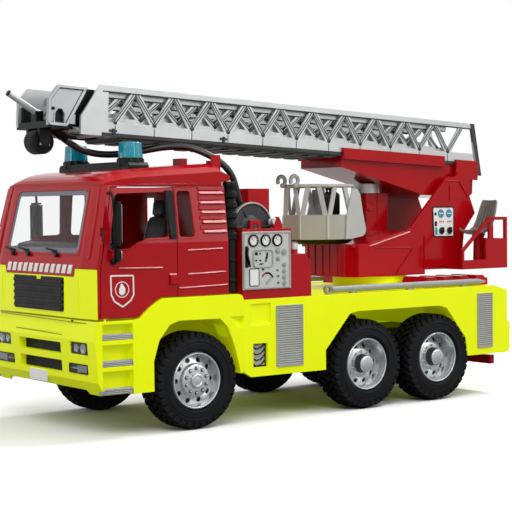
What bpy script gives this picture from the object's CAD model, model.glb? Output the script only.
import math

import bmesh
import bpy
from mathutils import Matrix, Vector


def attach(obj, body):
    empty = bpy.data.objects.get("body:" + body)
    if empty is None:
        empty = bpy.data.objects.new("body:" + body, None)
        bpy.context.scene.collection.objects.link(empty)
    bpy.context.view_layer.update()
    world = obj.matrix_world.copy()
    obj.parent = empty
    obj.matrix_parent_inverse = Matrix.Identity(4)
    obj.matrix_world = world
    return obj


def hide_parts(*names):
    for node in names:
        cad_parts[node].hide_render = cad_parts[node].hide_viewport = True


bl_info = {
    "name": "Toy fire engine with turntable ladder",
    "version": (1, 0, 0),
    "blender": (4, 5, 0),
    "location": "3D View > Sidebar > Fire engine",
    "description": "Dresses the packed toy fire engine with its moulded details and finishes",
    "category": "Object",
}

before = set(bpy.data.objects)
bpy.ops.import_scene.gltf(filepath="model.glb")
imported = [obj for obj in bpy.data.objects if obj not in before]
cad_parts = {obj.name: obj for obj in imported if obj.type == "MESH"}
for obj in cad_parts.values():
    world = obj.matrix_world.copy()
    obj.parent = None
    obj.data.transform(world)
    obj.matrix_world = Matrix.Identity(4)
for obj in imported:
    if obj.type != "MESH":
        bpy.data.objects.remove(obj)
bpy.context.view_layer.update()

# Lengths are millimetres. Y is written from the middle of the outer axles, and SHIFT_Y moves it to
# the middle of the whole toy, where the frame has its origin.
MM = 0.001
SHIFT_Y = 4.65
SIDE_X = 78                     # side walls of the cab and body
PANEL_TOP, SILL = 118, 134      # heights where the cab front starts to slope and where its windows start
AXLES = {"front": -118.2, "middle": 42.1, "rear": 118.2}
WHEEL_X = 64.5                  # middle of a tyre
WHEEL_R = 35
PIVOT = (188, 178)              # ladder hinge, y and z
TILT = math.radians(2.7)        # nose-up tilt of the stowed ladder
LEVEL_UNDER = 193.4             # underside of the base section before it is tilted
ROLLER = (-202, LEVEL_UNDER + 5 - 10.5)     # wall roller at the ladder's head, y and z
INTAKE = (71.6, -85.5)          # air intake pipe, x and y
BEACON_Y = -149
LAMP_Y = -201.1                 # face of the headlamps
REAR_Y = 196.5                  # rear wall of the body
PUMP_X = 79                     # face of the pump panels
TURRET_X = 34                   # outer face of the turret's cheeks
SHARP = math.radians(38)        # edges that turn by more than this are rounded
HANDS = {"left": 1, "right": -1}


# ---- colours and settings -----------------------------------------------------------------
def linear(hex_colour):
    """sRGB hex value to the linear colour that a shader takes."""
    parts = [int(hex_colour[i:i + 2], 16) / 255 for i in (1, 3, 5)]
    return tuple(c / 12.92 if c <= 0.04045 else ((c + 0.055) / 1.055) ** 2.4 for c in parts)


def colour_property(label, text, hex_colour):
    return bpy.props.FloatVectorProperty(name=label, description=text, default=linear(hex_colour),
                                         subtype="COLOR", size=3, min=0, max=1)


def length_property(label, text, value, low=0, high=100):
    return bpy.props.FloatProperty(name=label, description=text, default=value * MM, min=low * MM,
                                   max=high * MM, unit="LENGTH", precision=4)


class ENGINE_PG_colours(bpy.types.PropertyGroup):
    red: colour_property("Red", "Colour of the cab, turret and pump unit", "#AA0510")
    yellow: colour_property("Yellow", "Colour of the body, bumper and fenders", "#E6F200")
    silver: colour_property("Silver", "Colour of the ladder sections", "#B9BDBC")
    grey: colour_property("Grey", "Colour of the rails, shutters and basket", "#A3A59F")
    black: colour_property("Black", "Colour of the small black parts", "#090A0B")
    beacon: colour_property("Beacon", "Colour of the clear beacon lenses", "#00B0C8")


class ENGINE_PG_sizes(bpy.types.PropertyGroup):
    edge: length_property("Edge radius", "Rounding of moulded edges", 0.35, 0.05, 2)
    lugs: bpy.props.IntProperty(name="Lugs", description="Tread lugs round each shoulder of a tyre",
                                default=34, min=12, max=60)
    lug_depth: length_property("Lug depth", "Depth of the tread between two lugs", 2.2, 0.5, 4)
    hose: length_property("Hose diameter", "Outer diameter of the water hose", 5, 3, 8)


def colours():
    return bpy.context.scene.engine_colours


def sizes():
    return bpy.context.scene.engine_sizes


# ---- materials ----------------------------------------------------------------------------
def add_node(tree, kind, settings=None, links=None):
    """Adds one shader node; settings are attributes or input values, links are input: socket."""
    node = tree.nodes.new(kind)
    for key, value in (settings or {}).items():
        if isinstance(key, str) and hasattr(node, key):
            setattr(node, key, value)
        else:
            node.inputs[key].default_value = value
    for key, socket in (links or {}).items():
        tree.links.new(socket, node.inputs[key])
    return node


def new_material(name):
    """Empty material with its output node."""
    material = bpy.data.materials.new(name)
    material.use_nodes = True
    material.node_tree.nodes.clear()
    output = add_node(material.node_tree, "ShaderNodeOutputMaterial")
    return material, material.node_tree, output


def place(tree, size_mm):
    """Object coordinates scaled so that one unit is size_mm."""
    where = add_node(tree, "ShaderNodeTexCoord")
    scale = 1 / (size_mm * MM)
    return add_node(tree, "ShaderNodeVectorMath", {"operation": "SCALE", "Scale": scale},
                    {0: where.outputs["Object"]}).outputs[0]


def tinted(tree, colour, size_mm, darker, lighter):
    """The colour with a slow drift in brightness, as moulding gives it."""
    noise = add_node(tree, "ShaderNodeTexNoise", {"Scale": 1, "Detail": 3, "Roughness": 0.55},
                     {"Vector": place(tree, size_mm)})
    ramp = add_node(tree, "ShaderNodeValToRGB", {}, {"Fac": noise.outputs["Fac"]})
    ramp.color_ramp.elements[0].position = 0.3
    ramp.color_ramp.elements[0].color = tuple(c * darker for c in colour) + (1,)
    ramp.color_ramp.elements[1].position = 0.7
    ramp.color_ramp.elements[1].color = tuple(min(1, c * lighter) for c in colour) + (1,)
    return ramp.outputs["Color"]


def skin(tree, grain_mm, height_mm, radius_mm):
    """Normal of a moulded skin: edges rounded by radius_mm under a fine grain."""
    noise = add_node(tree, "ShaderNodeTexNoise", {"Scale": 1, "Detail": 2},
                     {"Vector": place(tree, grain_mm)})
    edges = add_node(tree, "ShaderNodeBevel", {"samples": 4, "Radius": radius_mm * MM})
    return add_node(tree, "ShaderNodeBump", {"Strength": 1, "Distance": height_mm * MM},
                    {"Height": noise.outputs["Fac"], "Normal": edges.outputs[0]}).outputs[0]


class Finish:
    """A finish: its slot in the record, and its material, made when it is first used."""

    def __init__(self, slot, make, *values):
        self.slot = slot
        self.make = make
        self.values = values
        self.made = None

    def material(self):
        if self.made is None:
            self.made = self.make(*self.values)
        return self.made


def tint(colour):
    """Linear colour of a hex value, or of one of the panel's colours by its name."""
    return linear(colour) if colour.startswith("#") else tuple(getattr(colours(), colour))


def moulded(name, colour, rough, grain_mm, height_mm, settings=None, drift=(0.94, 1.04), edge_mm=0.45):
    """Injection-moulded plastic with a slow colour drift, fine grain and rounded edges."""
    material, tree, output = new_material(name)
    patchy = add_node(tree, "ShaderNodeTexNoise", {"Scale": 1, "Detail": 4}, {"Vector": place(tree, 9)})
    gloss = add_node(tree, "ShaderNodeMapRange",
                     {"From Min": 0.3, "From Max": 0.7, "To Min": rough * 0.88, "To Max": rough * 1.15},
                     {"Value": patchy.outputs["Fac"]})
    values = {"IOR": 1.5}
    values.update(settings or {})
    if "Emission Strength" in values:
        values["Emission Color"] = tint(colour) + (1,)
    shader = add_node(tree, "ShaderNodeBsdfPrincipled", values,
                      {"Base Color": tinted(tree, tint(colour), 30, *drift), "Roughness": gloss.outputs[0],
                       "Normal": skin(tree, grain_mm, height_mm, edge_mm)})
    tree.links.new(shader.outputs[0], output.inputs["Surface"])
    return material


def clear(name, colour, rough, weight, wave_mm=0.03, ior=1.49):
    """Clear moulded plastic with a slight waviness inside."""
    material, tree, output = new_material(name)
    noise = add_node(tree, "ShaderNodeTexNoise", {"Scale": 1, "Detail": 1}, {"Vector": place(tree, 6)})
    bump = add_node(tree, "ShaderNodeBump", {"Strength": 1, "Distance": wave_mm * MM},
                    {"Height": noise.outputs["Fac"]})
    shader = add_node(tree, "ShaderNodeBsdfPrincipled",
                      {"Base Color": tint(colour) + (1,), "Roughness": rough, "IOR": ior,
                       "Transmission Weight": weight}, {"Normal": bump.outputs[0]})
    tree.links.new(shader.outputs[0], output.inputs["Surface"])
    return material


def ink(slot, name, colour):
    """Pad-printed ink: an even, satin film."""
    return Finish(slot, moulded, name, colour, 0.45, 0.5, 0.01, None, (0.93, 1))


# each finish: slot, kind, real name, colour, roughness, then for moulded ones grain and height of
# the grain in millimetres, shader values and the darkest and lightest share of the colour
LOW_SHINE = {"Specular IOR Level": 0.16}

# glossy injection-moulded ABS: deep red with soft studio reflections and a slight orange peel
red_abs = Finish("red_plastic", moulded, "red glossy ABS", "red", 0.15, 2.2, 0.008,
                 {"Specular IOR Level": 0.18})
# fluorescent ABS: even bright yellow-green that looks lit from within
yellow_abs = Finish("yellow_plastic", moulded, "fluorescent yellow ABS", "yellow", 0.32, 2, 0.01,
                    {"Specular IOR Level": 0.2, "Emission Strength": 0.14}, (0.97, 1.02))
# the yellow plastic as it looks down in a narrow groove
yellow_shadow = Finish("yellow_plastic", moulded, "grooved yellow plastic", "#9BA000", 0.5, 0.8, 0.01)
# black satin plastic with a fine spark-eroded grain: soft grey highlights
black_abs = Finish("black_plastic", moulded, "black satin plastic", "black", 0.42, 0.9, 0.02, LOW_SHINE,
                   (0.8, 1.25))
# polished black plastic of lamp backs and dials: dark with sharp highlights
gloss_black = Finish("black_plastic", moulded, "black glossy plastic", "#0B0C0D", 0.2, 2, 0.01, LOW_SHINE,
                     (0.8, 1.2))
# black seen in the gaps of the ladder sections: dark, with little shine
joint_black = Finish("black_plastic", moulded, "black gap plastic", "#1B1C1E", 0.55, 0.6, 0.01)
# unpainted dark grey plastic: dull, slightly grained
dark_grey_plastic = Finish("dark_grey_plastic", moulded, "dark grey plastic", "#28292D", 0.5, 1, 0.025, None,
                           (0.85, 1.15))
# olive grey seat plastic with a soft, slightly grained shine
seat_plastic = Finish("black_plastic", moulded, "olive grey plastic", "#74736C", 0.45, 0.7, 0.02)
# moulded grey plastic with a satin sheen
grey_plastic = Finish("grey_plastic", moulded, "grey satin plastic", "grey", 0.38, 1.2, 0.015, None,
                      (0.93, 1.05))
# darker grey plastic of the guide rails, satin
rail_grey = Finish("grey_plastic", moulded, "rail grey plastic", "#8E908D", 0.4, 1, 0.015, None, (0.93, 1.05))
# warm grey basket plastic, a little glossier than the rails
basket_plastic = Finish("grey_plastic", moulded, "warm grey plastic", "#B6B8B6", 0.34, 1.4, 0.012, None,
                        (0.92, 1.05))
# warmer grey of the basket's lower panels
basket_panel = Finish("grey_plastic", moulded, "beige grey plastic", "#A6A59C", 0.42, 0.9, 0.012)
# light grey panel plastic with printed instruments: matt, pale
panel_silver = Finish("grey_plastic", moulded, "pale grey panel plastic", "#BDBFBB", 0.42, 0.8, 0.012,
                      {"Metallic": 0.15}, (0.94, 1.04))
# silver-pigmented plastic: metal flake in the resin gives a soft metallic sheen
silver_plastic = Finish("silver_plastic", moulded, "silver pigmented plastic", "silver", 0.36, 0.7, 0.012,
                        {"Metallic": 0.35}, (0.92, 1.06))
# darker metallic silver of the ladder's head, more like satin metal than the rails
head_silver = Finish("silver_plastic", moulded, "dark silver plastic", "#A3A6A7", 0.3, 0.8, 0.01,
                     {"Metallic": 0.45}, (0.9, 1.08))
# silver lacquer over plastic: brighter and smoother than the ladder's pigment
rim_silver = Finish("silver_plastic", moulded, "silver lacquered plastic", "#C6C9CB", 0.28, 0.8, 0.01,
                    {"Metallic": 0.7}, (0.9, 1.06))
# foil mirror face: bright, slightly blurred
mirror_glass = Finish("silver_plastic", moulded, "mirror foil", "#C8CCCE", 0.12, 2, 0.005, {"Metallic": 1},
                      (0.97, 1.02))
# soft black tyre vinyl: bluish black, dull, with a dusty sheen on the lugs
tyre_rubber = Finish("tyre_rubber", moulded, "black tyre vinyl", "#090A0D", 0.6, 0.8, 0.05, LOW_SHINE,
                     (0.8, 1.3), 0.3)
# smooth black tube: dark with a long soft highlight
hose_rubber = Finish("hose_rubber", moulded, "black hose tube", "#141516", 0.33, 3, 0.01, None, (0.85, 1.2))
# pad-printed white ink: slightly uneven cover
white_print = ink("grey_plastic", "white pad print", "#EDEDE9")
# pad-printed red ink of scales and warning marks: even and satin
red_print = ink("red_plastic", "red pad print", "#A91A1E")
# pad-printed blue ink of the round panel marks: even and satin
blue_print = ink("grey_plastic", "blue pad print", "#2F8FC0")
# pad-printed teal ink of a small panel mark: even and satin
teal_print = ink("grey_plastic", "teal pad print", "#2E8F9B")
# grey-violet screen print round the inside of the windscreen: matt and even
border_print = Finish("window_plastic", moulded, "grey violet screen print", "#67636E", 0.4, 0.6, 0.008, None,
                      (0.93, 1.05))
# clear blue-green polystyrene: bright where light passes, deep teal at the ribs
blue_lens = Finish("blue_clear_plastic", clear, "clear teal polystyrene", "beacon", 0.1, 0.55)
# clear ribbed lamp lens: bright, with small highlights
lamp_lens = Finish("clear_plastic", clear, "clear lamp polystyrene", "#E6E8E8", 0.06, 0.95)
# clear red lamp lens: deep red that brightens where light passes
tail_lens = Finish("red_clear_plastic", clear, "clear red polystyrene", "#A80A12", 0.1, 0.5)
# thin clear pane: almost invisible, with faint reflections
window_pane = Finish("clear_plastic", clear, "clear window polystyrene", "#F4F6F6", 0.02, 1, 0.001, 1.16)


# ---- mesh helpers -------------------------------------------------------------------------
def at(x, y, z):
    """Point in the frame, in metres, from millimetres with Y from the middle of the outer axles."""
    return Vector((x, y + SHIFT_Y, z)) * MM


def polar(middle, radius, angle):
    """Point of a circle in a plane."""
    return middle[0] + radius * math.cos(angle), middle[1] + radius * math.sin(angle)


def aside(profile, side):
    """Turned profile with its distances towards one side."""
    return [(side * along, radius) for along, radius in profile]


def add_faces(bm, rings, closed_ends=True, looped=True, material=0):
    """Joins rings of points with quads; closed ends are capped."""
    rows = [[bm.verts.new(p) for p in ring] for ring in rings]
    count = len(rows[0])
    span = count if looped else count - 1
    faces = []
    for a, b in zip(rows, rows[1:]):
        for i in range(span):
            j = (i + 1) % count
            faces.append(bm.faces.new((a[i], a[j], b[j], b[i])))
    if closed_ends:
        faces.append(bm.faces.new(list(reversed(rows[0]))))
        faces.append(bm.faces.new(rows[-1]))
    for face in faces:
        face.material_index = material
    return faces


def add_box(bm, x0, x1, y0, y1, z0, z1, material=0):
    """Box between its limits, in either order along X."""
    x0, x1 = sorted((x0, x1))
    low = rect(x0, x1, y0, y1)
    add_faces(bm, [[at(x, y, z) for x, y in low] for z in (z0, z1)], material=material)


def add_prism(bm, plane, points, low, high, material=0):
    """Polygon pushed between low and high: yz along X, xz along Y, xy along Z."""
    spot = {"yz": lambda p, d: at(d, p[0], p[1]), "xz": lambda p, d: at(p[0], d, p[1]),
            "xy": lambda p, d: at(p[0], p[1], d)}[plane]
    add_faces(bm, [[spot(p, d) for p in points] for d in (low, high)], material=material)


def circle_on(axis, centre, radius, sides, turn=0):
    """Points of a circle about a line along X, Y or Z."""
    ring = []
    for i in range(sides):
        angle = turn + 2 * math.pi * i / sides
        c, s = radius * math.cos(angle), radius * math.sin(angle)
        x, y, z = centre
        ring.append({"x": at(x, y + c, z + s), "y": at(x + s, y, z + c), "z": at(x + c, y + s, z)}[axis])
    return ring


def add_turned(bm, axis, centre, profile, sides=32, material=0, closed_ends=True):
    """Turned form: profile gives distance along the axis and radius."""
    rings = []
    for along, radius in profile:
        moved = list(centre)
        moved["xyz".index(axis)] += along
        rings.append(circle_on(axis, moved, max(radius, 0.01), sides))
    return add_faces(bm, rings, closed_ends, material=material)


def ring_round(point, side, up, radius, sides):
    """Circle round a place in the plane of two directions."""
    angles = (2 * math.pi * i / sides for i in range(sides))
    return [point + (side * math.cos(a) + up * math.sin(a)) * radius * MM for a in angles]


def add_rod(bm, start, end, radius, sides=12, material=0, radius_end=None):
    """Round rod between two points, in millimetres."""
    start, end = at(*start), at(*end)
    run = (end - start).normalized()
    side = run.orthogonal().normalized()
    up = run.cross(side)
    ends = (start, radius), (end, radius if radius_end is None else radius_end)
    add_faces(bm, [ring_round(point, side, up, r, sides) for point, r in ends], material=material)


def add_bent_rod(bm, points, radius, sides=12, material=0):
    """Round rod through several points, bending at each."""
    spots = [at(*p) for p in points]
    rings = []
    for i, spot in enumerate(spots):
        before = spots[max(i - 1, 0)]
        after = spots[min(i + 1, len(spots) - 1)]
        run = (after - before).normalized()
        side = run.cross(Vector((0.31, 0.17, 0.93))).normalized()
        up = side.cross(run)
        rings.append(ring_round(spot, side, up, radius, sides))
    add_faces(bm, rings, material=material)


def add_plate(bm, corners, thick, material=0):
    """Flat plate: a polygon in space, in millimetres, thickened along its normal."""
    spots = [at(*c) for c in corners]
    normal = (spots[1] - spots[0]).cross(spots[2] - spots[0]).normalized() * thick * MM
    add_faces(bm, [spots, [s + normal for s in spots]], material=material)


def tilt_ladder(bm):
    """Turns what was drawn level to the stowed tilt of the ladder."""
    hinge = at(0, *PIVOT)
    turn = Matrix.Translation(hinge) @ Matrix.Rotation(-TILT, 4, "X") @ Matrix.Translation(-hinge)
    bmesh.ops.transform(bm, matrix=turn, verts=bm.verts)


def mirror_x(bm):
    """Adds a twin on the other side of the centre plane."""
    twin = bmesh.ops.duplicate(bm, geom=bm.verts[:] + bm.edges[:] + bm.faces[:])["geom"]
    verts = [g for g in twin if isinstance(g, bmesh.types.BMVert)]
    bmesh.ops.scale(bm, vec=(-1, 1, 1), verts=verts)
    bmesh.ops.reverse_faces(bm, faces=[g for g in twin if isinstance(g, bmesh.types.BMFace)])


def mesh_of(name, bm):
    """Mesh with its normals turned outwards."""
    bmesh.ops.recalc_face_normals(bm, faces=bm.faces)
    mesh = bpy.data.meshes.new(name)
    bm.to_mesh(mesh)
    bm.free()
    return mesh


def link(name, data):
    """Object in the scene."""
    obj = bpy.data.objects.new(name, data)
    bpy.context.scene.collection.objects.link(obj)
    return obj


def piece(name, bm, finishes, edge=None, replaced=(), body="vehicle", smooth=35, slot=None):
    """Finishes a mesh as a piece that rides on a body; its slot is that of its first finish."""
    mesh = mesh_of(name, bm)
    mesh.shade_smooth()
    mesh.set_sharp_from_angle(angle=math.radians(smooth))
    obj = link(name, mesh)
    for finish in finishes:
        mesh.materials.append(finish.material())
    if edge:
        rounding = obj.modifiers.new("rounded edges", "BEVEL")
        rounding.width = edge * MM
        rounding.segments = 2
        rounding.limit_method = "ANGLE"
        rounding.angle_limit = SHARP
        rounding.harden_normals = True
    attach(obj, body)
    slot or finishes[0].slot
    if replaced:
        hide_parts(*replaced)
    return obj


def dress(finish, *nodes):
    """Gives CAD nodes a material."""
    for name in nodes:
        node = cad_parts[name]
        node.data.materials.clear()
        node.data.materials.append(finish.material())


# ---- outlines -----------------------------------------------------------------------------
def rect(a0, a1, b0, b1):
    """Corners of a rectangle from its limits."""
    return [(a0, b0), (a1, b0), (a1, b1), (a0, b1)]


def rounded(points, radius, parts=5):
    """Polygon with its corners turned into arcs of one radius, or less where a side is short."""
    out = []
    count = len(points)
    for i, corner in enumerate(points):
        here = Vector(corner)
        back = Vector(points[i - 1]) - here
        ahead = Vector(points[(i + 1) % count]) - here
        half = back.angle(ahead) / 2
        reach = min(radius / math.tan(half), 0.48 * back.length, 0.48 * ahead.length)
        bend = reach * math.tan(half)
        middle = here + (back.normalized() + ahead.normalized()).normalized() * (bend / math.sin(half))
        a = here + back.normalized() * reach - middle
        b = here + ahead.normalized() * reach - middle
        for k in range(parts + 1):
            turned = a.slerp(b, k / parts).normalized() * a.length
            out.append(tuple(middle + turned))
    return out


def offset(points, by):
    """Polygon moved outwards by a distance, or inwards where it is negative."""
    count = len(points)
    area = sum(p[0] * q[1] - q[0] * p[1] for p, q in zip(points, points[1:] + points[:1]))
    way = 1 if area > 0 else -1
    out = []
    for i in range(count):
        here = Vector(points[i])
        a = (here - Vector(points[i - 1])).normalized()
        b = (Vector(points[(i + 1) % count]) - here).normalized()
        normals = Vector((a.y, -a.x)) * way, Vector((b.y, -b.x)) * way
        middle = (normals[0] + normals[1]).normalized()
        out.append(tuple(here + middle * (by / max(0.35, middle.dot(normals[0])))))
    return out


def add_band(bm, outer, inner, spot, low, high, material=0):
    """Flat ring between two outlines; spot turns outline points and a depth into places."""
    loops = [[spot(p, low) for p in outer], [spot(p, high) for p in outer],
             [spot(p, high) for p in inner], [spot(p, low) for p in inner]]
    rows = [[bm.verts.new(v) for v in loop] for loop in loops]
    count = len(outer)
    for a, b in zip(rows, rows[1:] + rows[:1]):
        for i in range(count):
            j = (i + 1) % count
            face = bm.faces.new((a[i], a[j], b[j], b[i]))
            face.material_index = material


def add_bar(bm, start, end, width, height, up=(0, 0, 1), material=0):
    """Square bar between two points, in millimetres; height lies along up."""
    start, end = at(*start), at(*end)
    run = (end - start).normalized()
    side = run.cross(Vector(up)).normalized()
    rise = side.cross(run)
    a, b = side * width / 2 * MM, rise * height / 2 * MM
    add_faces(bm, [[p - a - b, p + a - b, p + a + b, p - a + b] for p in (start, end)], material=material)


def side_x(z):
    """Half width of the cab's side wall at a height."""
    return SIDE_X - max(0, z - SILL) * 5 / 40


def on_side(side):
    """Places on a side wall of the cab: outline points are (y, z), depth stands out from the wall."""
    return lambda p, depth: at(side * (side_x(p[1]) + depth), p[0], p[1])


def front_y(z):
    """Front of the cab at a height: upright panel, short slope, then the windscreen's slope."""
    if z < PANEL_TOP:
        return -202.5 - (PANEL_TOP - z) * 0.5 / 35
    if z < SILL:
        return -202.5 + (z - PANEL_TOP) * 3.5 / 16
    return -199 + (z - SILL) * 9.4 / 40


def on_front(p, depth):
    """Places on the cab front: outline points are (x, z)."""
    return at(p[0], front_y(p[1]) - depth, p[1])


def flat_yz(x, side=1):
    """Places on an upright plane along the vehicle; depth stands out to its side."""
    return lambda p, depth: at(side * (x + depth), p[0], p[1])


def add_sheet(bm, outline, spot, low, high, material=0):
    """Thin plate with any outline on a curved or flat wall."""
    add_faces(bm, [[spot(p, low) for p in outline], [spot(p, high) for p in outline]], material=material)


# ---- cab ----------------------------------------------------------------------------------
DOOR_WINDOW = [(-191.6, 130), (-183.6, 168.8), (-141, 170), (-141, 137.3), (-159.1, 136.9),
               (-168, 133.7), (-174, 130.2), (-188.5, 129.2)]
REAR_WINDOW = [(-133.8, 137), (-133.8, 170.8), (-121.4, 170.8), (-119.3, 137)]
WINDSCREEN = [(-54.2, 126.8), (54.2, 126.8), (52.4, 171.8), (-52.4, 171.8)]
DIP = [(-52, 118), (-50.4, 111.5), (50.4, 111.5), (52, 118)]
SHIELD = [(-190.4, 113), (-171.5, 112.6), (-171.3, 99), (-173.6, 94.8), (-180.6, 90.3), (-187.6, 94.6),
          (-190.1, 99.2)]
FLAME = [(-181.4, 107.6), (-178.4, 103.4), (-178.6, 100.4), (-181, 98.6), (-183.4, 100.2), (-183.4, 103)]
RIB = ((-0.7, -0.2), (-0.65, 0.8), (-0.45, 0.8), (0.6, -0.2))    # section of a raised line: height, depth


def add_rib(bm, start, end, spot, material=0):
    """Raised line between two points of a wall."""
    (y0, z0), (y1, z1) = start, end
    across = Vector((z0 - z1, y1 - y0)).normalized()
    add_faces(bm, [[spot((y + across.x * w, z + across.y * w), d) for w, d in RIB] for y, z in (start, end)],
              material=material)


def frame_ring(bm, window, radius, spot, low, high, material=0):
    """Ring that rounds off the corners of a cut window."""
    add_band(bm, offset(rounded(window, 0.5), 0.8), offset(rounded(window, radius), -0.6), spot, low, high,
             material)


def cab_frames():
    """Rounded frames of the windows that are cut in the cab shell, with the ribs of its side walls."""
    bm = bmesh.new()
    frame_ring(bm, WINDSCREEN, 6.5, on_front, -1.4, 0.35)
    for side in (1, -1):
        spot = on_side(side)
        frame_ring(bm, REAR_WINDOW, 3.4, spot, -1.6, 0.3)
        for start, end in (((-126.6, 128.5), (-96.4, 129.2)), ((-126.9, 111.6), (-94, 112.5)),
                           ((-134.2, 102), (-92.6, 103.1)), ((-134, 173), (-117, 173.6))):
            add_rib(bm, start, end, spot)
        for start, end in (((-172, 175), (-135, 175.4)), ((-133.4, 175.6), (-94, 176.2))):
            add_rib(bm, start, end, lambda p, d: on_side(side)(p, d * 1.3))
        # half-round moulding down each front pillar
        add_bent_rod(bm, [(side * (67 + dx), front_y(z) + 0.9 + dy, z)
                          for z, dx, dy in ((124, 0.6, 0.2), (134, 0.4, 0), (150, 0, 0.1),
                                            (174.6, -2.4, 0.2))], 1.5, 14)
    add_sheet(bm, rounded(DIP, 1.2), on_front, -0.3, 0.3)
    piece("cab_window_frames", bm, [red_abs], 0.15)

    bm = bmesh.new()
    pane = offset(rounded(WINDSCREEN, 6), -0.6)
    add_band(bm, pane, offset(pane, -3.6), on_front, -0.28, -0.1)
    piece("windscreen_border", bm, [border_print])

    bm = bmesh.new()
    for x, lean in ((24.5, -9), (-17, -9), (-41, -6)):
        z = 126
        add_turned(bm, "y", (x, front_y(z) - 1.4, z), [(-1, 1.2), (-1, 1.6), (1.6, 1.9)], 16)
        add_bar(bm, (x, front_y(z) - 1.7, z), (x + lean, front_y(z + 3.4) - 1.2, z + 3.4), 1.1, 0.9,
                (0, 1, 0))
        add_bar(bm, (x + lean + 7, front_y(z + 2.6) - 0.6, z + 2.6),
                (x + lean - 9, front_y(z + 4.4) - 0.6, z + 4.4), 0.9, 1.3)
    piece("wipers", bm, [black_abs], 0.2)


def front_print():
    """White dashes over the grille, blank plate on the bumper, its bolt and the backs of its slots."""
    bm = bmesh.new()
    count, pitch = 12, 8.2
    for i in range(count):
        x = (i - (count - 1) / 2) * pitch
        for low, high, lean in ((113.4, 118, 0), (118, 119.6, 1.8)):
            a, b = x - 3.9 + lean, x - 3.9 + lean + (high - low) * 2.4 / 6.2
            add_sheet(bm, [(a, low), (a + 5.4, low), (b + 5.4, high), (b, high)], on_front, 0.2, 0.45)
    add_box(bm, -17.5, 8.2, -202.2, -201, 35.2, 43.2)
    piece("front_print", bm, [white_print], slot="yellow_plastic")
    bm = bmesh.new()
    add_turned(bm, "y", (46, -202, 80.6), [(0.6, 1), (-0.4, 1), (-0.4, 0.5)], 14)
    for low, high in ((57, 65), (44, 52.4)):
        add_box(bm, -32.6, 32.6, -197.4, -194, low - 0.6, high + 0.6)
        for k in range(5):
            add_box(bm, -32.6, 32.6, -198, -197.3, low + 1 + 1.5 * k, low + 1.5 + 1.5 * k)
    piece("bumper_bolt", bm, [black_abs])


def doors():
    """What each door carries: window frame, crease, handle grips, black strip and a plain shield."""
    for hand, side in HANDS.items():
        spot = on_side(side)
        bm = bmesh.new()
        frame_ring(bm, DOOR_WINDOW, 4.2, spot, -1.6, 0.3)
        add_rib(bm, (-184, 117.6), (-148, 117), spot)
        for z in (112, 105.2):
            add_rib(bm, (-142.6, z), (-136.6, z), lambda p, d: on_side(side)(p, d + 0.3))
        piece("door_frame_" + hand, bm, [red_abs], 0.12, body=hand + "_door")

        bm = bmesh.new()
        strip = rounded([(-143.2, 170.6), (-137, 170.6), (-136.1, 136.6), (-141.6, 136.6)], 0.9, 3)
        add_sheet(bm, strip, spot, -0.8, 1.7)
        add_sheet(bm, [(-141.8, 141), (-137.2, 141), (-137.4, 138.6), (-141.6, 138.6)], spot, 1.6, 2.1)
        piece("door_pillar_cover_" + hand, bm, [black_abs], 0.4, body=hand + "_door")

        bm = bmesh.new()
        border = rounded(SHIELD, 1.1, 3)
        add_band(bm, border, offset(border, -1.1), spot, -0.1, 0.22)
        ring = [polar((-181, 102.8), 5.6, math.pi * i / 14) for i in range(28)]
        add_band(bm, ring, offset(ring, -0.6), spot, -0.1, 0.2)
        add_sheet(bm, rounded(FLAME, 0.6, 2), spot, -0.1, 0.2)
        piece("door_shield_" + hand, bm, [white_print], body=hand + "_door", slot="red_plastic")


# ---- wheels -------------------------------------------------------------------------------
def tyre_mesh(bm, side, y):
    """Tyre carcass with a ribbed side wall and three rows of chunky lugs."""
    depth = sizes().lug_depth / MM
    half = 12.2
    inner = WHEEL_R - depth
    wall = [(-half + 2.5, 20.7), (-half, 22.4), (-half, 29.5), (-half + 0.6, 31), (-half + 2.4, inner - 0.4),
            (-half + 4, inner), (half - 4, inner), (half - 2.4, inner - 0.4), (half - 0.6, 31),
            (half - 0.2, 29.6), (half, 29.2), (half, 27.6), (half - 0.4, 27.2), (half, 26.6), (half, 22.4),
            (half - 2.5, 20.7)]
    centre = (side * WHEEL_X, y, WHEEL_R)
    add_turned(bm, "x", centre, aside(wall + wall[:1], side), 72, closed_ends=False)
    count = sizes().lugs
    # each row of lugs: its limits, how far it starts round the tyre, and its slant
    for low, high, start, skew in ((7.6, half - 0.1, 0, 0.3), (-half + 0.1, -7.6, 0.5, -0.3),
                                   (0.8, 6.6, 0.5, -0.25), (-6.6, -0.8, 0, 0.25)):
        for i in range(count):
            add_lug(bm, centre, side, (low, high), (i + start) / count, skew, count, depth)


def add_lug(bm, centre, side, span, turn, skew, count, depth):
    """One lug; its outer end follows the rounded shoulder."""
    x, y, z = centre
    shoulder = 9.4                  # where the tread starts to round off
    wide = 0.31 * 2 * math.pi / count
    tilt = skew * 2 * math.pi / count
    rings = []
    for a, lean in ((span[0], -tilt), (span[1], tilt)):
        drop = max(0, abs(a) - shoulder)
        top = WHEEL_R - 0.62 * drop
        base = WHEEL_R - depth - 0.6 - 1.2 * drop * (drop > 2)
        ring = []
        for r, w in ((base, -wide * 1.12), (base, wide * 1.12), (top, wide), (top, -wide)):
            angle = 2 * math.pi * turn + lean + w
            ring.append(at(x + side * a, *polar((y, z), r, angle)))
        rings.append(ring)
    add_faces(bm, rings)


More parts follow.
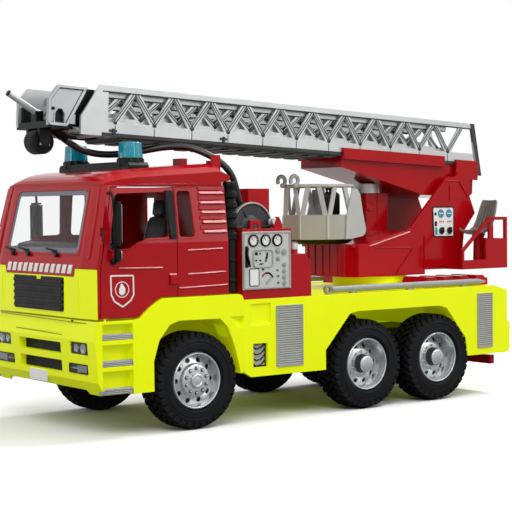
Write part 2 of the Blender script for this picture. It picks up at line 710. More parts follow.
def add_holed_ring(bm, centre, side, radii, depths, holes, thick):
    """Disc between two radii with round holes; holes is (count, radius of their circle, radius)."""
    x, y, z = centre
    count, circle, hole = holes
    (r0, r1), (a0, a1) = radii, depths
    sides = 16

    def spot(r, angle, back=0):
        a = a0 + (a1 - a0) * (r - r0) / (r1 - r0) - back
        return at(x + side * a, *polar((y, z), r, angle))

    half = math.pi / count
    for i in range(count):
        middle = 2 * half * i
        outer, inner, floor = [], [], []
        for k in range(sides):
            u = 2 * math.pi * k / sides
            c, s = math.cos(u), math.sin(u)
            reach = 1 / max(abs(c), abs(s))
            r = (r0 + r1) / 2 + (r1 - r0) / 2 * c * reach
            outer.append(bm.verts.new(spot(r, middle + half * s * reach)))
            hr = circle + hole * c
            angle = middle + hole * s / hr
            inner.append(bm.verts.new(spot(hr, angle)))
            floor.append(bm.verts.new(spot(hr, angle, thick)))
        for k in range(sides):
            j = (k + 1) % sides
            bm.faces.new((outer[k], outer[j], inner[j], inner[k]))
            bm.faces.new((inner[k], inner[j], floor[j], floor[k]))
        bm.faces.new(floor).material_index = 1


ROLLED_LIP = [(-10.8, 19.2), (-10.8, 20.6), (9.6, 20.6), (10.8, 20.3), (11.3, 19.7), (11.2, 19)]


def add_rim_ring(bm, centre, side, profile, sides=40, material=0):
    """Turned part of a rim, open at its ends."""
    add_turned(bm, "x", centre, aside(profile, side), sides, material, False)


def nut_places(centre, side, along, circle):
    """Places of ten nuts round a rim."""
    x, y, z = centre
    return [(x + side * along, *polar((y, z), circle, 2 * math.pi * (i + 0.5) / 10)) for i in range(10)]


def front_rim_mesh(bm, centre, side):
    """Front rim: rolled lip, ring with ten hand holes, raised flange with ten nuts and a domed cap."""
    add_rim_ring(bm, centre, side, ROLLED_LIP + [(10.4, 18.6), (8.6, 18.3), (6.4, 18), (4.6, 17.6)], 64)
    add_holed_ring(bm, centre, side, (12, 17.6), (6.4, 4.6), (10, 15, 1.95), 1.1)
    flange = [(6, 12.2), (8.6, 12), (9.6, 11.5), (9.8, 10.8), (9.8, 5.6), (10.6, 5.3), (11.6, 4.9),
              (11.8, 3.9), (11.2, 3.4), (11.4, 0.02)]
    add_rim_ring(bm, centre, side, flange)
    for spot in nut_places(centre, side, 9.8, 8.9):
        add_turned(bm, "x", spot, [(0, 1.45), (side * 0.5, 1.35), (side * 0.5, 0.95)], 12, 1, False)
        add_turned(bm, "x", spot, [(side * 0.35, 0.97), (side * 1.1, 0.9), (side * 1.5, 0.55)], 6)


def rear_rim_mesh(bm, centre, side):
    """Rear rim: rolled lip, deep dish with ten hand holes, a ring of nuts and a drum hub."""
    add_rim_ring(bm, centre, side, ROLLED_LIP + [(10.2, 18.5), (9.2, 18.4), (8.8, 18), (0.2, 17.2)], 64)
    add_holed_ring(bm, centre, side, (11.2, 17.2), (3.2, 0.2), (10, 14.3, 2), 1.3)
    add_rim_ring(bm, centre, side, [(3.2, 11.2), (3.4, 10.6), (3.4, 7.6), (4.2, 7.4)])
    add_rim_ring(bm, centre, side, [(4.2, 7.4), (5, 6.9), (9.4, 6.7), (10.2, 6.5)], material=2)
    add_rim_ring(bm, centre, side, [(10.2, 6.5), (10.8, 6.2), (11, 5.6), (11, 0.02)])
    x, y, z = centre
    for k in range(-3, 4):
        middle = y + 1.5 * k
        wide = math.sqrt(5.2 ** 2 - (1.5 * k) ** 2)
        add_box(bm, x + side * 10.9, x + side * 11.15, middle - 0.3, middle + 0.3, z - wide, z + wide)
    for spot in nut_places(centre, side, 3.3, 9.2):
        add_turned(bm, "x", spot, [(0, 0.9), (side * 1.2, 0.85), (side * 1.6, 0.5)], 6)


def wheels():
    """A lugged tyre and a rim for each wheel."""
    for axle, y in AXLES.items():
        for hand, side in HANDS.items():
            name = axle + "_" + hand
            bm = bmesh.new()
            tyre_mesh(bm, side, y)
            piece("lugged_tyre_" + name, bm, [tyre_rubber], replaced=["tyre_" + name], body="wheel_" + name,
                  smooth=28)
            bm = bmesh.new()
            centre = (side * WHEEL_X, y, WHEEL_R)
            (front_rim_mesh if axle == "front" else rear_rim_mesh)(bm, centre, side)
            piece("pressed_rim_" + name, bm, [rim_silver, gloss_black, dark_grey_plastic],
                  replaced=["rim_" + name], body="wheel_" + name, smooth=40)


# ---- hose ---------------------------------------------------------------------------------
HOSE = [(0, -179.9, 208.2), (1, -170.5, 201.8), (4, -157.5, 198), (9, -143, 197.6), (17, -127, 200),
        (28, -112.5, 203.3), (41, -100.5, 203.2), (53, -90.5, 197), (57.5, -81.5, 190.5), (58, -73.5, 182.5),
        (56.5, -68.5, 172), (54.5, -64.5, 162), (53.9, -63.2, 159.2)]


def water_hose():
    """Hose from the spout under the ladder head, over the cab and down to the reel."""
    curve = bpy.data.curves.new("supply_hose", "CURVE")
    curve.dimensions = "3D"
    spline = curve.splines.new("NURBS")
    spline.points.add(len(HOSE) - 1)
    for point, spot in zip(spline.points, HOSE):
        point.co = tuple(at(*spot)) + (1,)
    spline.order_u = 3
    spline.use_endpoint_u = True
    spline.resolution_u = 8
    curve.bevel_depth = sizes().hose / 2
    curve.bevel_resolution = 6
    curve.use_fill_caps = True
    curve.materials.append(hose_rubber.material())
    obj = link("supply_hose", curve)
    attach(obj, "vehicle")
    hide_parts("water_hose")


# ---- front, roof and inside -----------------------------------------------------------------
def add_fluted(bm, axis, centre, profile, teeth, depth, material=0):
    """Turned form with ribs along its axis, each rib and groove a quarter tooth wide."""
    rings = []
    for along, radius in profile:
        moved = list(centre)
        moved["xyz".index(axis)] += along
        outer = circle_on(axis, moved, radius, teeth * 4)
        inner = circle_on(axis, moved, radius * (1 - depth), teeth * 4)
        rings.append([outer[i] if i % 4 in (0, 1) else inner[i] for i in range(teeth * 4)])
    add_faces(bm, rings, material=material)


def steps():
    """Ribbed metal-coloured treads with end caps, three on each side below the doors."""
    bm = bmesh.new()
    for top in (72.3, 54.2, 35.2):
        edge = [(73.5, top - 3.6), (78.9, top - 3.6)]
        for k in range(3):
            z = top - 3.2 + 1.15 * k
            edge += [(79.7, z), (79.7, z + 0.65), (79, z + 0.75), (79, z + 1.05)]
        edge += [(79.3, top), (73.5, top)]
        add_prism(bm, "xz", edge, -197.2, -174.3)
        for k in range(4):
            add_box(bm, 74.2 + 1.3 * k, 74.9 + 1.3 * k, -196.8, -174.7, top - 0.1, top + 0.35)
        cap = rounded(rect(73.5, 79.8, top - 3.8, top + 0.3), 0.7, 3)
        for y in (-197.8, -174.3):
            add_prism(bm, "xz", cap, y, y + 0.6)
    mirror_x(bm)
    piece("step_treads", bm, [head_silver], 0.12, ("cab_steps",))


def front_lamps():
    """Headlamps: dark housings, round reflectors, a ribbed turn lamp and a clear cover on each."""
    upper, lower = (44.8, 68.1, 58.5, 66.4), (41.1, 66.8, 45, 51.5)
    bm = bmesh.new()
    spot = lambda p, d: at(p[0], LAMP_Y - d, p[1])
    for x0, x1, z0, z1 in (upper, lower):
        shape = rounded(rect(x0, x1, z0, z1), 1.2, 4)
        add_sheet(bm, shape, spot, 0, 0.25, 0)
        add_band(bm, shape, offset(shape, -0.55), spot, 0.2, 1.4, 0)
    for x, r in ((51.2, 2.7), (60.6, 3.5)):
        add_turned(bm, "y", (x, -201.3, 62.4), [(0, r), (-0.9, r + 0.1), (-0.9, r - 0.5), (-0.1, r * 0.45),
                                                (-0.1, 0.9), (-0.7, 0.8), (-0.9, 0.3)], 28, 1)
    add_box(bm, 53, 53.8, -202.2, -201, 45.3, 51.2, 1)
    for k in range(9):
        add_box(bm, 54.4 + 1.3 * k, 55.2 + 1.3 * k, -201.9, -201.2, 45.8, 50.8, 1)
    add_box(bm, 43, 51.8, -201.6, -201.2, 47.8, 48.6, 1)
    mirror_x(bm)
    piece("lamp_reflectors", bm, [gloss_black, head_silver], 0.1, ("headlamps",), slot="silver_plastic")
    bm = bmesh.new()
    for x0, x1, z0, z1 in (upper, lower):
        shape = offset(rounded(rect(x0, x1, z0, z1), 1.2, 4), -0.3)
        add_sheet(bm, shape, spot, 1.2, 1.5, 0)
    mirror_x(bm)
    piece("lamp_covers", bm, [window_pane], 0.1)


def front_creases():
    """Shadowed grooves of the yellow front, the beads beside the grille and the rim round it."""
    bm = bmesh.new()
    for points in ([(-60, 81.4), (46, 80.2), (72, 79.8)], [(-36, 71.6), (34, 70.4)]):
        for (x0, z0), (x1, z1) in zip(points, points[1:]):
            add_sheet(bm, [(x0, z0 - 0.35), (x1, z1 - 0.35), (x1, z1 + 0.35), (x0, z0 + 0.35)],
                      lambda p, d: at(p[0], -203.05 - d + max(0, abs(p[0]) - 60) * 0.16, p[1]), -0.1, 0.12)
    piece("front_creases", bm, [yellow_shadow])
    bm = bmesh.new()
    for side in (1, -1):
        add_bent_rod(bm, [(side * 56.4, front_y(112) + 0.2, 113), (side * 57.6, front_y(108) + 0.2, 109),
                          (side * 57.8, front_y(90) + 0.2, 88), (side * 56.6, front_y(86) + 0.2, 85.4)],
                     0.55, 8)
    rim = rounded(rect(-37.9, 37.9, 85.6, 111.4), 2.6)
    add_band(bm, rim, offset(rim, -0.9), on_front, -0.1, 0.5)
    piece("front_rims", bm, [yellow_abs], 0.15)


def beacons():
    """Fluted clear blue domes with a reflector inside, on notched black bases."""
    for name, x in (("left", 39), ("right", -39)):
        bm = bmesh.new()
        add_fluted(bm, "z", (x, BEACON_Y, 193.6), [(0, 8.9), (0.6, 9), (1.2, 8.8), (10.6, 8.25), (11.5, 7.9),
                                                   (12, 7.1)], 20, 0.03)
        piece("beacon_dome_" + name, bm, [blue_lens], replaced=("beacons",) if x > 0 else (), smooth=40)
        bm = bmesh.new()
        add_turned(bm, "z", (x, BEACON_Y, 193.7), [(0, 6.2), (1, 6.2), (1.4, 3.4), (8.6, 3), (9.4, 1.6)], 24)
        piece("beacon_core_" + name, bm, [silver_plastic], 0.1)
        bm = bmesh.new()
        add_fluted(bm, "z", (x, BEACON_Y, 188.4), [(0, 9.9), (4.6, 9.9), (5.2, 9.5)], 12, 0.1)
        add_turned(bm, "z", (x, BEACON_Y, 188), [(0, 9.2), (6, 9.2), (6.3, 8.9)], 40)
        piece("beacon_base_" + name, bm, [black_abs], 0.15)
    bm = bmesh.new()
    add_prism(bm, "xz", [(-50.6, 184), (50.6, 184), (50.6, 188.6), (48.6, 190.9), (-48.6, 190.9),
                         (-50.6, 188.6)], -157.4, -140.6)
    for y in (-154, -144):
        add_bar(bm, (-28, y, 191.2), (28, y, 191.2), 1.6, 0.8)
    for x in (-24, 0, 24):
        add_box(bm, x - 3, x + 3, -156.4, -141.6, 190.6, 191.5)
    piece("beacon_bridge", bm, [black_abs], 0.4, ("beacon_bar",))


def intake():
    """Air intake behind the cab: corrugated above, smooth below, with a hooded top."""
    bm = bmesh.new()
    profile = [(-40, 4.4), (-2.4, 4.4), (-2, 5.4)]
    for k in range(5):
        z = -1 + 7.4 * k
        profile += [(z, 5.5), (z + 3.4, 5.5), (z + 4.2, 4.3), (z + 6.2, 4.3)]
    profile += [(36.4, 5.3), (39, 5.3), (40, 4.6)]
    add_turned(bm, "z", (*INTAKE, 137), profile, 40)
    for z in (104, 119):
        add_turned(bm, "z", (*INTAKE, z), [(0, 4.5), (0.3, 5), (2, 5), (2.3, 4.5)], 40)
    add_bar(bm, (INTAKE[0], -81.2, 98), (INTAKE[0], -81.2, 134), 1.4, 1.2, (0, 1, 0))
    piece("intake_pipe", bm, [black_abs], 0.3, ("air_intake",))


def louvres():
    """Sloping slats of the louvres behind the doors."""
    bm = bmesh.new()
    for side in (1, -1):
        for k in range(5):
            z, y0 = 168.6 - 6.9 * k, -115.6 + 0.5 * k
            x = side_x(z)
            blade = [(x - 0.3, z + 1.5), (x + 0.1, z + 1.5), (x + 1.7, z - 0.4), (x + 1.7, z - 0.8),
                     (x - 0.3, z - 1.5)]
            root = [(x - 0.3, z + 1.5), (x - 0.2, z + 1.5), (x - 0.1, z - 0.4), (x - 0.1, z - 0.8),
                    (x - 0.3, z - 1.5)]
            add_faces(bm, [[at(side * px, y, pz) for px, pz in shape] for y, shape in
                           ((y0, root), (y0 + 1.4, blade), (-92.6, blade), (-91.8, root))])
    piece("louvre_slats", bm, [red_abs], 0.15)


def cab_inside():
    """Moulded seats with side bolsters and head rests, and the raised hood of the dials."""
    bm = bmesh.new()
    for x in (-35, 35):
        rows = [(116.6, 12.6, -130.4, -123), (122, 13.2, -131.6, -122.4), (136, 13, -130.2, -120.6),
                (147, 11.6, -127.6, -119.8), (151, 9.6, -126.4, -119.8), (152, 6, -125.6, -120.2)]
        add_faces(bm, [[at(x + px * half / 6, py, z) for px, py in
                        ((-6, y0 + 1.8), (-4.4, y0), (-3.6, y0 + 1.4), (3.6, y0 + 1.4), (4.4, y0),
                         (6, y0 + 1.8), (5.6, y1), (-5.6, y1))]
                       for z, half, y0, y1 in rows])
        rest = [(152.6, 5.2, -124.6, -120), (154, 6.8, -125.2, -119.6), (161.8, 6.6, -124.2, -119),
                (164, 5, -123.2, -119.4)]
        add_faces(bm, [[at(x + px * half, py, z) for px, py in ((-1, y0 + 1), (-0.8, y0), (0.8, y0),
                                                                (1, y0 + 1), (1, y1), (-1, y1))]
                       for z, half, y0, y1 in rest])
        for dx in (-2.6, 2.6):
            add_rod(bm, (x + dx, -122, 150.6), (x + dx, -122, 154), 0.8, 10)
        cushion = [(-152, 101), (-152.4, 112), (-150, 117), (-144, 118.4), (-128, 116.8), (-118.4, 117.4),
                   (-118, 99)]
        add_prism(bm, "yz", cushion, x - 13.3, x + 13.3)
        for s in (-1, 1):
            add_bent_rod(bm, [(x + s * 11.6, -150.4, 116.6), (x + s * 11.8, -143, 118.6),
                              (x + s * 11.6, -130, 117.6)], 1.7, 12)
    piece("seat_shells", bm, [dark_grey_plastic], 0.8, ("cab_seats",), smooth=45)
    bm = bmesh.new()
    add_prism(bm, "yz", [(-180, 124), (-186, 128.2), (-183, 131.4), (-178, 130.6), (-175.6, 126.4)], 22, 48)
    for x in (29, 41):
        add_turned(bm, "y", (x, -176.6, 127.8), [(-0.8, 3.2), (0.4, 3.2), (0.4, 2.6), (-0.2, 2.4)], 20)
    add_prism(bm, "yz", [(-193, 125.2), (-176.6, 125), (-177.4, 131.6), (-180.6, 134.2), (-187, 132.6)], -60,
              60)
    piece("dial_hood", bm, [dark_grey_plastic], 0.5)


def mirror_faces():
    """Silvered faces of the door mirrors, with the lip of each housing."""
    for hand, side, x, y in (("left", 1, 84.4, -187.2), ("right", -1, 85.8, -158)):
        bm = bmesh.new()
        for z0, z1, wide in ((134.4, 161.4, 2.4), (123.4, 129.6, 1.7)):
            if side > 0:
                face = rounded(rect(x - wide, x + wide, z0, z1), 1, 3)
                add_sheet(bm, face, lambda p, d: at(p[0], y + 1.6 + d, p[1]), -0.1, 0.12)
            else:
                face = rounded(rect(y - wide * 1.7, y + wide * 1.7, z0, z1), 1, 3)
                add_sheet(bm, face, lambda p, d: at(-(x - 1.7 - d), p[0], p[1]), -0.1, 0.12)
        piece("mirror_glass_" + hand, bm, [mirror_glass], body=hand + "_door")


def shutters():
    """Slats of the roller shutters in their frames, window of the body and flaps behind the fenders."""
    bm = bmesh.new()
    for y0, y1, z0, z1 in ((-49, -24, 39.5, 85.3), (161, 178.5, 39.5, 85)):
        count = 26
        pitch = (z1 - z0 - 1.6) / count
        for k in range(count):
            z = z0 + 0.8 + pitch * k
            add_prism(bm, "xz", [(77.9, z), (78.6, z + 0.1), (78.9, z + pitch * 0.45),
                                 (78.6, z + pitch * 0.8), (78.1, z + pitch * 0.95), (77.9, z + pitch)],
                      y0 + 0.7, y1 - 0.7)
        frame_edge = rounded(rect(y0, y1, z0, z1), 0.6, 3)
        add_band(bm, frame_edge, offset(frame_edge, -0.9), flat_yz(78), -0.1, 0.9)
    mirror_x(bm)
    piece("shutter_slats", bm, [grey_plastic], 0.08, ("roller_shutters",))
    bm = bmesh.new()
    add_box(bm, 74, 75, -70.1, -57.1, 40.9, 58.1)
    for k in range(4):
        rise = 4.2 * k
        line = [(75.2, -69.6, 43.6 + rise), (75.4, -65.6, 41.4 + rise), (75.4, -61.4, 42.2 + rise),
                (75.2, -57.6, 45.6 + rise)]
        add_bent_rod(bm, [(x, y, min(z, 57.6)) for x, y, z in line], 0.45, 8, 1)
    window = rounded(rect(-70.2, -57, 40.8, 58.2), 0.8, 3)
    add_band(bm, window, offset(window, -0.8), flat_yz(75), -0.2, 0.6, 1)
    mirror_x(bm)
    piece("body_window", bm, [grey_plastic, black_abs])
    bm = bmesh.new()
    inner = [(-98.7, 77.6), (-93.6, 72.1), (-89.2, 62.5), (-84.7, 51.1), (-81.4, 40)]
    add_prism(bm, "yz", inner + [(-78.9, 40), (-78.9, 61), (-80.4, 67), (-83.3, 73.3), (-87.6, 77.4),
                                 (-92.3, 79.6)], 60, 78.2)
    add_prism(bm, "yz", inner + [(-78.9, 40), (-78.9, 80), (-98.7, 80)], 62, 75)
    mirror_x(bm)
    piece("fender_flaps", bm, [yellow_abs], 0.3)


def rear_end():
    """Outlines and grips of the doors in the rear of the body."""
    bm = bmesh.new()
    for side in (1, -1):
        door = rounded(rect(side * 4, side * 70, 63, 85), 1.6)
        add_band(bm, door, offset(door, -1), lambda p, d: at(p[0], REAR_Y + d, p[1]), -0.1, 0.5)
    piece("rear_doors", bm, [yellow_abs], 0.15)
    bm = bmesh.new()
    for side in (1, -1):
        add_bent_rod(bm, [(side * 62, 196.4, 67), (side * 62, 198.6, 68), (side * 62, 198.6, 79),
                          (side * 62, 196.4, 80)], 0.9, 12)
    piece("rear_grips", bm, [silver_plastic])


# ---- pump, reel and turntable ---------------------------------------------------------------
DIALS = (-70.2, -59, -48.2)     # of the pump panels
DIAL_Z = 133.8
WINDING = (50, -58, 143.5)      # middle of the hose reel


def add_disc(bm, x, y, z, profile, sides=24, material=0):
    """Turned knob or dial that faces the left side; profile gives distance out and radius."""
    add_turned(bm, "x", (x, y, z), profile, sides, material)


def pump_controls():
    """Dials, lever, knobs, labels and border of the pump panels, the same on both sides."""
    bm = bmesh.new()
    spot = flat_yz(PUMP_X)
    field = rounded(rect(-79.2, -35.8, 98.3, 140.1), 2.2)
    add_band(bm, field, offset(field, -1.2), spot, -0.2, 0.55)
    for y in DIALS:
        add_disc(bm, PUMP_X, y, DIAL_Z, [(-0.2, 4.6), (0.9, 4.6), (1.2, 4.2), (1.2, 3.6), (0.5, 3.4)], 32, 1)
        add_disc(bm, PUMP_X, y, DIAL_Z, [(0.4, 3.5), (0.62, 3.5)], 32, 2)
        for k in range(9):
            angle = math.radians(-30 + 30 * k)
            c, s = math.cos(angle), math.sin(angle)
            tick = [(y + r * c - w * s, DIAL_Z + r * s + w * c) for r, w in rect(2.4, 3.2, 0.2, -0.2)]
            add_sheet(bm, tick, spot, 0.6, 0.72, 1 if k < 6 else 3)
        add_bar(bm, (79.75, y, DIAL_Z), (79.75, y - 1.6, 135.9), 0.4, 0.2, (1, 0, 0), 1)
    # lever in its slot
    add_sheet(bm, rounded(rect(-77.6, -74.6, 114, 130), 1.4, 3), spot, 0, 0.35, 1)
    add_bent_rod(bm, [(79.4, -75, 128.8), (80.6, -76.4, 124), (80.2, -74.6, 118.4), (79.4, -73.4, 115)], 0.7,
                 10, 1)
    # small panel with its buttons
    small = rounded(rect(-70.6, -52, 113.8, 127.2), 3.2)
    add_band(bm, small, offset(small, -0.9), spot, -0.1, 0.7)
    for y, z, r in ((-67.4, 124.2, 1.2), (-67.6, 119.2, 0.7), (-64, 119.2, 0.7), (-64, 124.2, 0.6),
                    (-61.4, 112.6, 0.8)):
        add_disc(bm, PUMP_X, y, z, [(-0.2, r), (0.6, r), (0.8, r * 0.7)], 14, 1)
    for y, z, w, h in ((-57.6, 122.6, 1, 2.2), (-58.6, 119.8, 0.8, 1.8), (-63, 116.6, 2.2, 0.5)):
        add_sheet(bm, [(y - w, z - h), (y + w * 0.4, z - h), (y + w, z + h), (y - w * 0.4, z + h)], spot, 0,
                  0.35, 1)
    # blank label and the curved scale beside it
    label = rounded(rect(-73.4, -65.6, 101, 113), 0.6, 3)
    add_band(bm, offset(label, 0.5), label, spot, -0.1, 0.5, 1)
    add_sheet(bm, label, spot, 0, 0.3, 2)
    arc = [math.radians(20 + 10 * k) for k in range(14)]
    for i, (a, b) in enumerate(zip(arc, arc[1:])):
        corners = [polar((-57.6, 104.6), r, t) for r, t in ((4.6, a), (5.9, a), (5.9, b), (4.6, b))]
        add_sheet(bm, corners, spot, 0, 0.35, 1 if i < 9 else 3)
    add_bar(bm, (79.5, -58.6, 102), (79.5, -54.4, 106.4), 0.9, 0.8, (1, 0, 0), 0)
    # two columns of knobs with rings
    knobs = [(-41.8, 101.8 + 4.5 * k, 1.9) for k in range(4)]
    knobs += [(-47.6, 102.4, 1), (-47.8, 107.4, 1), (-48.2, 111.6, 0.9), (-47.8, 125.8, 2.2),
              (-47.6, 120, 1.8), (-41.8, 124.8, 2.4)]
    for y, z, r in knobs:
        add_disc(bm, PUMP_X, y, z, [(-0.2, r), (0.5, r), (0.7, r * 0.82), (0.4, r * 0.66)], 20, 0)
        add_disc(bm, PUMP_X, y, z, [(0.2, r * 0.45), (1.3, r * 0.4)], 12, 0 if r > 1.2 else 1)
    mirror_x(bm)
    piece("pump_controls", bm, [grey_plastic, gloss_black, white_print, red_print], 0.12)

    bm = bmesh.new()
    add_turned(bm, "z", (70.5, -26.5, 123), [(-0.2, 3), (0.6, 3), (1, 2.2), (2.4, 2.2), (3, 3.4), (7.4, 3.6),
                                              (8.4, 3.2), (8.7, 2.2)], 24)
    arc = [(72, *polar((-20.6, 97), 3.6, math.radians(40 + 20 * k))) for k in range(15)]
    add_bent_rod(bm, arc, 1.3, 12)
    add_bar(bm, (72, -24.8, 97), (72, -27.4, 97), 2.4, 3.6)
    mirror_x(bm)
    piece("pump_couplings", bm, [silver_plastic], 0.15)

    bm = bmesh.new()
    add_turned(bm, "x", (66.8, -42, 147), [(-3.4, 2.6), (-3, 3.2), (-1, 3.2), (-0.8, 2.7), (2, 2.7),
                                           (2.4, 2.3)], 24)
    add_prism(bm, "yz", [(-44.6, 141.6), (-36, 141.6), (-36, 145.2), (-38.8, 150.6), (-40.4, 151),
                         (-41.6, 149), (-43, 146)], 66.9, 70, 1)
    piece("pump_cap", bm, [silver_plastic, red_abs], 0.3, ("pump_fittings",), slot="grey_plastic")


def reel():
    """Hose reel: rubber hose wound between two dished flanges on a hub."""
    bm = bmesh.new()
    turns = 8
    pitch = 20 / turns
    wound = [(-10 + pitch * (i + k / 6), 14.2 + 1.35 * abs(math.sin(math.pi * k / 6)))
             for i in range(turns) for k in range(6)] + [(10, 14.2)]
    add_turned(bm, "x", WINDING, wound, 48)
    piece("reel_hose", bm, [hose_rubber], body="reel", smooth=60, slot="black_plastic")
    bm = bmesh.new()
    ends = [(side, (WINDING[0] + side * 11, *WINDING[1:])) for side in (1, -1)]
    for side, centre in ends:
        flange = [(-1.2, 3), (-1.2, 17.2), (-1, 18.2), (0.4, 18.6), (1.2, 18.2), (1.2, 17), (0.4, 16.2),
                  (-0.4, 9), (0.6, 7.6), (1.2, 6.6), (1.2, 3)]
        add_turned(bm, "x", centre, aside(flange, side), 56)
        x = centre[0] + side * 0.1
        for k in range(6):
            start, end = (polar(centre[1:], r, math.pi * k / 3) for r in (7.4, 16.6))
            add_bar(bm, (x, *start), (x, *end), 1.4, 1.1, (1, 0, 0))
    add_turned(bm, "x", WINDING, [(-15.8, 2), (-15.4, 2.4), (15.4, 2.4), (15.8, 2)], 24)
    for side, centre in ends:
        rim = [(-1.3, 17.4), (-1.3, 18.5), (1.3, 18.5), (1.4, 17.9), (1.3, 17.4)]
        add_turned(bm, "x", centre, aside(rim, side), 56, 1, False)
    piece("reel_flanges", bm, [dark_grey_plastic, grey_plastic], 0.15, ("hose_reel",), body="reel",
          slot="black_plastic")


def turret_details():
    """Raised lines and control panel on the turret's cheeks, web between them and the column's flange."""
    bm = bmesh.new()
    spot = flat_yz(TURRET_X)
    for start, end in (((87.5, 124.4), (127.8, 123.5)), ((129.9, 122.6), (110.4, 101.8)),
                       ((69.4, 126.4), (69.4, 101)), ((126.8, 136.8), (167.4, 178.2)),
                       ((168.6, 179.4), (183.4, 179.6)), ((184.6, 178.8), (195.4, 164.2)),
                       ((81.4, 125.6), (126.4, 136.6)), ((173, 176), (173, 162)), ((143, 133), (143, 105))):
        add_rib(bm, start, end, spot)
    add_turned(bm, "x", (9, 103.6, 157.9), [(-0.2, 4.2), (0.7, 4.2), (1, 3.8), (1, 2.9), (0.6, 2.7)], 28)
    add_box(bm, 9, 9.5, 99.4, 100.6, 134, 168.4)
    add_box(bm, 9, 9.5, 112, 112.8, 136, 168.4)
    for x in (5, 15, 24):
        add_rib(bm, (x, 126), (x, 101.2), lambda p, d: at(p[0], 63.5 + max(0, p[0] - 26.2) * 0.7 - d, p[1]))
    mirror_x(bm)
    piece("turret_ribs", bm, [red_abs], body="turntable")

    bm = bmesh.new()
    add_prism(bm, "yz", [(118, 137.4), (128, 165), (149.8, 161.5), (149.8, 134.4)], -29, -26.6)
    add_prism(bm, "yz", [(130, 140), (149, 140), (139.5, 156)], -26.7, -25.8)
    piece("turret_web", bm, [red_abs], 0.3, body="turntable")

    bm = bmesh.new()
    add_turned(bm, "z", (0, 107, 169), [(-0.1, 8.6), (0.2, 9.2), (4.6, 9.2), (5.4, 9.6), (6.6, 10.6),
                                        (7.9, 10.6), (8, 9.4)], 40)
    piece("column_flange", bm, [silver_plastic], 0.15, body="turntable")

    bm = bmesh.new()
    dial_x = 34.2
    face = rounded([(151.9, 157.3), (177.7, 157.2), (177.5, 131), (153.4, 131.4)], 2.2)
    add_band(bm, face, offset(face, -1), spot, 0, 0.5, 1)
    add_sheet(bm, offset(face, -0.9), spot, 0, 0.3, 0)
    for y in (162.1, 171.4):
        add_disc(bm, dial_x, y, 151.3, [(0, 3.5), (0.25, 3.5)], 28, 1)
        add_disc(bm, dial_x, y, 151.3, [(0.1, 3.1), (0.35, 3.1)], 28, 2)
        add_sheet(bm, rect(y - 2.6, y + 2.6, 151, 151.7), spot, 0.5, 0.65, 0)
        add_disc(bm, dial_x, y + 0.6, 136.8, [(0, 2.9), (0.9, 2.9), (1.1, 2.4)], 24, 1)
        add_bar(bm, (35.6, y - 1.4, 134.4), (35.6, y + 2.4, 139.4), 1, 0.9, (1, 0, 0), 1)
        for k in (-1, 0, 1):
            add_sheet(bm, [(y + 0.3 + k * 1.9, 143.6), (y + 1.3 + k * 1.9, 143.9), (y + 1.1 + k * 1.9, 145.4),
                           (y + 0.1 + k * 1.9, 145)], spot, 0.2, 0.4, 3)
    add_disc(bm, dial_x, 155.6, 151, [(0, 1.3), (0.5, 1.2)], 16, 1)
    add_sheet(bm, rounded(rect(154.8, 157.2, 140.6, 144.8), 0.8, 3), spot, 0.2, 0.6, 1)
    add_sheet(bm, rounded(rect(155.2, 157.8, 133.2, 139.6), 1.2, 3), spot, 0.2, 0.5, 4)
    piece("turret_panel", bm, [white_print, gloss_black, blue_print, red_print, teal_print], body="turntable")


def operator_seat():
    """Moulded bucket seat on its foot, with ribs across the back."""
    bm = bmesh.new()
    curve = [(180.5, 137.4, 0.90), (186, 135, 0.97), (194, 135.6, 1), (199.6, 138.8, 1), (203, 145, 0.98),
             (206, 153, 0.94), (208.6, 160.4, 0.84), (209.2, 162.4, 0.70)]
    rows = []
    for lift in (0, -2):
        for i, (y, z, wide) in enumerate(curve):
            ahead = curve[min(i + 1, len(curve) - 1)]
            back = curve[max(i - 1, 0)]
            run = Vector((ahead[0] - back[0], ahead[1] - back[1])).normalized()
            row = []
            for k in range(13):
                t = (k - 6) / 6
                dish = 1.7 * abs(t) ** 3 + lift
                row.append(at(47 + 10.4 * wide * t, y - run.y * dish, z + run.x * dish))
            rows.append(row)
    top, under = rows[:len(curve)], rows[len(curve):]
    grid = [[bm.verts.new(v) for v in row] for row in top]
    low = [[bm.verts.new(v) for v in row] for row in under]
    last = len(curve) - 1
    for i in range(last):
        for k in range(12):
            bm.faces.new((grid[i][k], grid[i][k + 1], grid[i + 1][k + 1], grid[i + 1][k]))
            bm.faces.new((low[i][k + 1], low[i][k], low[i + 1][k], low[i + 1][k + 1]))
        for k in (0, 12):
            bm.faces.new((grid[i][k], grid[i + 1][k], low[i + 1][k], low[i][k]))
    for i in (0, last):
        for k in range(12):
            bm.faces.new((grid[i][k], low[i][k], low[i][k + 1], grid[i][k + 1]))
    for x in (40.4, 43.7, 47, 50.3, 53.6):
        for (y0, z0), (y1, z1) in zip([(199.2, 140), (202.4, 146.2), (205.2, 153.2)],
                                      [(202.4, 146.2), (205.2, 153.2), (207.2, 158.8)]):
            add_bar(bm, (x, y0, z0), (x, y1, z1), 0.9, 1.2, (0, 1, 0))
    piece("operator_seat_shell", bm, [seat_plastic], 0.3, body="turntable", smooth=50)
    bm = bmesh.new()
    add_turned(bm, "z", (47, 194, 107.3), [(0, 7.4), (1.6, 7.4), (3, 4.6), (22, 4.2), (26.6, 6.4)], 28)
    piece("operator_seat_foot", bm, [red_abs], 0.2, ("operator_seat",), body="turntable")


# ---- rescue basket --------------------------------------------------------------------------
BASKET = [(11, 27), (25, 45), (25, 72), (18, 78)]      # half plan, front to back


def plan_of(half, inset):
    """Closed plan from half of it, moved inwards."""
    return offset(half + [(-x, y) for x, y in reversed(half)], -inset)


